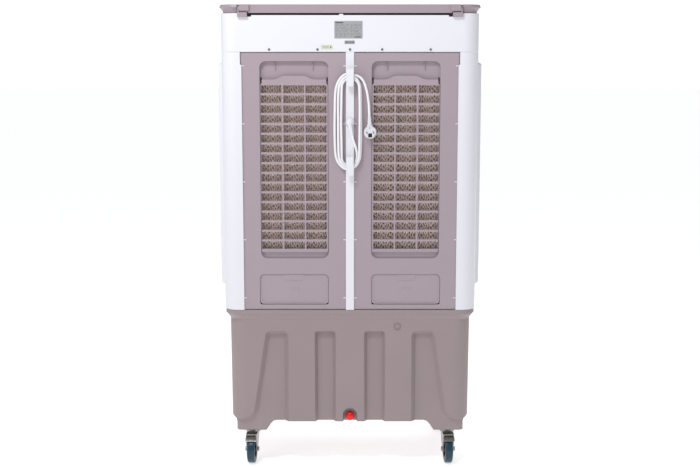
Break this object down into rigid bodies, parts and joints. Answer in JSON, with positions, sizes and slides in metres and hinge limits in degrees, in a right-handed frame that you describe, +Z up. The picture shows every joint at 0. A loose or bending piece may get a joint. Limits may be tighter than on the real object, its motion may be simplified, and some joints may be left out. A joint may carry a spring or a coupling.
{
  "type": "evaporative cooler",
  "caption": "Mobile evaporative cooler: upright cabinet on a water tank with casters, rear pad grilles, fill flaps, wound mains lead, top lid, rotary controls and swing vanes.",
  "frame": {"origin": "on the floor, under the middle of the cabinet", "axes": "+Z up, +Y towards the front air outlet, -Y towards the rear intake grilles, +X to the right seen from the rear"},
  "size_m": [0.8, 0.546, 1.42],
  "materials": {
    "tank_plastic": "matte",
    "taupe_plastic": "satin",
    "white_plastic": "satin",
    "dark_plastic": "satin",
    "motor_steel": "satin",
    "control_black": "gloss",
    "clear_window": "gloss",
    "drain_red": "matte",
    "pad_cellulose": "matte",
    "hose_rubber": "matte",
    "cord_white": "satin",
    "plug_white": "satin",
    "plug_metal": "polished",
    "clip_white": "satin",
    "screw_steel": "satin",
    "label_foil": "satin",
    "pin_steel": "satin",
    "caster_zinc": "satin",
    "wheel_blue": "matte",
    "pedal_dark": "satin"
  },
  "bodies": {
    "cabinet": {"tank": "tank_plastic", "tank_deck": "taupe_plastic", "level_window": "clear_window", "centre_post": "white_plastic", "front_panel": "white_plastic", "outlet_grille": "white_plastic", "fan_shroud": "dark_plastic", "motor": "motor_steel", "motor_bracket": "motor_steel", "upper_housing": "white_plastic", "ice_basin": "white_plastic", "top_frame": "taupe_plastic", "control_panel": "control_black", "water_distributor": "white_plastic", "pump": "dark_plastic", "riser_hose": "hose_rubber", "cooling_pads": "pad_cellulose", "lid_seal": "hose_rubber", "cord_hank": "cord_white", "power_cord": "cord_white", "plug": "plug_white", "plug_pins": "plug_metal", "cord_fittings": "white_plastic", "panel_clips": "clip_white", "housing_screws": "screw_steel", "labels": "label_foil", "rear_post_left": "white_plastic", "rear_post_right": "white_plastic", "rear_panel_left": "taupe_plastic", "rear_panel_right": "taupe_plastic", "side_panel_left": "white_plastic", "side_panel_right": "white_plastic", "lid_hinge_brackets": "taupe_plastic", "caster_plates": "caster_zinc"},
    "lid": {"top_lid": "taupe_plastic", "lid_hinge_pins": "pin_steel"},
    "fan": {"fan": "dark_plastic"},
    "drain": {"drain_plug": "drain_red"},
    "grille_left": {"rear_grille_left": "taupe_plastic"},
    "flap_left": {"fill_flap_left": "taupe_plastic"},
    "grille_right": {"rear_grille_right": "taupe_plastic"},
    "flap_right": {"fill_flap_right": "taupe_plastic"},
    "swivel_rear_left": {"fork_rear_left": "caster_zinc"},
    "wheel_rear_left": {"wheel_rear_left": "wheel_blue"},
    "swivel_rear_right": {"fork_rear_right": "caster_zinc"},
    "wheel_rear_right": {"wheel_rear_right": "wheel_blue"},
    "swivel_front_left": {"fork_front_left": "caster_zinc"},
    "wheel_front_left": {"wheel_front_left": "wheel_blue"},
    "pedal_left": {"brake_pedal_left": "pedal_dark"},
    "swivel_front_right": {"fork_front_right": "caster_zinc"},
    "wheel_front_right": {"wheel_front_right": "wheel_blue"},
    "pedal_right": {"brake_pedal_right": "pedal_dark"},
    "vane_1": {"vane_1": "white_plastic"},
    "vane_2": {"vane_2": "white_plastic"},
    "vane_3": {"vane_3": "white_plastic"},
    "vane_4": {"vane_4": "white_plastic"},
    "vane_5": {"vane_5": "white_plastic"},
    "knob_1": {"knob_1": "dark_plastic"},
    "knob_2": {"knob_2": "dark_plastic"},
    "knob_3": {"knob_3": "dark_plastic"}
  },
  "joints": [
    {"name": "lid_hinge", "type": "hinge", "parent": "cabinet", "child": "lid", "pos_m": [0, -0.2405, 1.4075], "axis": [1, 0, 0], "range_deg": [0, 90]},
    {"name": "fan_spin", "type": "hinge", "parent": "cabinet", "child": "fan", "pos_m": [0, 0.154, 1], "axis": [0, 1, 0], "continuous": true},
    {"name": "drain_pull", "type": "slide", "parent": "cabinet", "child": "drain", "axis": [0, -1, 0], "range_m": [0, 0.03]},
    {"name": "grille_left_lift", "type": "slide", "parent": "cabinet", "child": "grille_left", "axis": [0, 0, 1], "range_m": [0, 0.025]},
    {"name": "flap_left_hinge", "type": "hinge", "parent": "cabinet", "child": "flap_left", "pos_m": [-0.16915, -0.231, 0.5255], "axis": [1, 0, 0], "range_deg": [0, 75]},
    {"name": "grille_right_lift", "type": "slide", "parent": "cabinet", "child": "grille_right", "axis": [0, 0, 1], "range_m": [0, 0.025]},
    {"name": "flap_right_hinge", "type": "hinge", "parent": "cabinet", "child": "flap_right", "pos_m": [0.16915, -0.231, 0.5255], "axis": [1, 0, 0], "range_deg": [0, 75]},
    {"name": "swivel_rear_left", "type": "hinge", "parent": "cabinet", "child": "swivel_rear_left", "pos_m": [-0.307, -0.152, 0.1], "axis": [0, 0, 1], "continuous": true},
    {"name": "wheel_rear_left_spin", "type": "hinge", "parent": "swivel_rear_left", "child": "wheel_rear_left", "pos_m": [-0.30841, -0.17896, 0.044], "axis": [0.9986, -0.0523, 0], "continuous": true},
    {"name": "swivel_rear_right", "type": "hinge", "parent": "cabinet", "child": "swivel_rear_right", "pos_m": [0.307, -0.152, 0.1], "axis": [0, 0, 1], "continuous": true},
    {"name": "wheel_rear_right_spin", "type": "hinge", "parent": "swivel_rear_right", "child": "wheel_rear_right", "pos_m": [0.30841, -0.17896, 0.044], "axis": [0.9986, 0.0523, 0], "continuous": true},
    {"name": "swivel_front_left", "type": "hinge", "parent": "cabinet", "child": "swivel_front_left", "pos_m": [-0.307, 0.152, 0.1], "axis": [0, 0, 1], "continuous": true},
    {"name": "wheel_front_left_spin", "type": "hinge", "parent": "swivel_front_left", "child": "wheel_front_left", "pos_m": [-0.30841, 0.17896, 0.044], "axis": [-0.9986, -0.0523, 0], "continuous": true},
    {"name": "pedal_left_press", "type": "hinge", "parent": "swivel_front_left", "child": "pedal_left", "pos_m": [-0.30915, 0.19294, 0.0923], "axis": [-0.9986, -0.0523, 0], "range_deg": [-25, 0]},
    {"name": "swivel_front_right", "type": "hinge", "parent": "cabinet", "child": "swivel_front_right", "pos_m": [0.307, 0.152, 0.1], "axis": [0, 0, 1], "continuous": true},
    {"name": "wheel_front_right_spin", "type": "hinge", "parent": "swivel_front_right", "child": "wheel_front_right", "pos_m": [0.30841, 0.17896, 0.044], "axis": [-0.9986, 0.0523, 0], "continuous": true},
    {"name": "pedal_right_press", "type": "hinge", "parent": "swivel_front_right", "child": "pedal_right", "pos_m": [0.30915, 0.19294, 0.0923], "axis": [-0.9986, 0.0523, 0], "range_deg": [-25, 0]},
    {"name": "vane_1_swing", "type": "hinge", "parent": "cabinet", "child": "vane_1", "pos_m": [-0.2, 0.218, 1], "axis": [0, 0, 1], "range_deg": [-35, 35]},
    {"name": "vane_2_swing", "type": "hinge", "parent": "cabinet", "child": "vane_2", "pos_m": [-0.1, 0.218, 1], "axis": [0, 0, 1], "range_deg": [-35, 35]},
    {"name": "vane_3_swing", "type": "hinge", "parent": "cabinet", "child": "vane_3", "pos_m": [0, 0.218, 1], "axis": [0, 0, 1], "range_deg": [-35, 35]},
    {"name": "vane_4_swing", "type": "hinge", "parent": "cabinet", "child": "vane_4", "pos_m": [0.1, 0.218, 1], "axis": [0, 0, 1], "range_deg": [-35, 35]},
    {"name": "vane_5_swing", "type": "hinge", "parent": "cabinet", "child": "vane_5", "pos_m": [0.2, 0.218, 1], "axis": [0, 0, 1], "range_deg": [-35, 35]},
    {"name": "knob_1_turn", "type": "hinge", "parent": "cabinet", "child": "knob_1", "pos_m": [-0.105, 0.252, 1.338], "axis": [0, -1, 0], "range_deg": [0, 270]},
    {"name": "knob_2_turn", "type": "hinge", "parent": "cabinet", "child": "knob_2", "pos_m": [0, 0.252, 1.338], "axis": [0, -1, 0], "range_deg": [0, 270]},
    {"name": "knob_3_turn", "type": "hinge", "parent": "cabinet", "child": "knob_3", "pos_m": [0.105, 0.252, 1.338], "axis": [0, -1, 0], "range_deg": [0, 270]}
  ],
  "couplings": [
    {"joint": "vane_2_swing", "follows": "vane_1_swing", "ratio": 1},
    {"joint": "vane_3_swing", "follows": "vane_1_swing", "ratio": 1},
    {"joint": "vane_4_swing", "follows": "vane_1_swing", "ratio": 1},
    {"joint": "vane_5_swing", "follows": "vane_1_swing", "ratio": 1}
  ]
}
